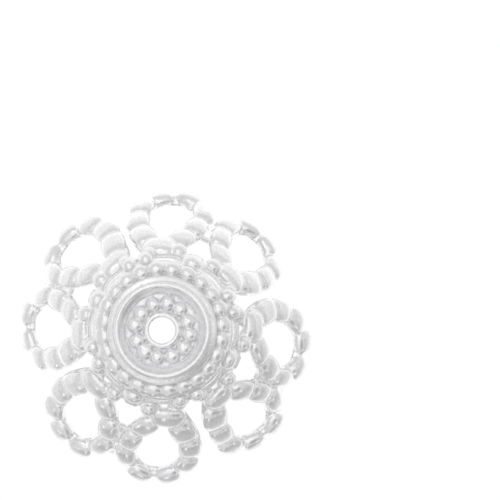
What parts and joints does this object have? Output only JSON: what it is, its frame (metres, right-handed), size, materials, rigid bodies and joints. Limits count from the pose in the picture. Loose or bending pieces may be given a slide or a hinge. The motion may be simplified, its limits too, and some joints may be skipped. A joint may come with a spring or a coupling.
{
  "type": "bead cap",
  "caption": "Bell-shaped filigree bead cap of silver-plated sheet, pierced petals edged with beading, a granulated top and a central thread hole.",
  "frame": {"origin": "on the axis of the thread hole, at the level of the table that the petal tips stand on, in the middle of the cap's mouth", "axes": "+Z along the thread hole towards the top of the cap, +X along the middle of the petal that hangs lowest, the other petals on +Y, -X and -Y"},
  "size_m": [0.0158, 0.0159, 0.0098],
  "materials": {
    "plated_sheet": "bright silver plate over stamped brass, lightly tumbled"
  },
  "bodies": {
    "root": {"bead_cap": "plated_sheet"}
  },
  "joints": []
}
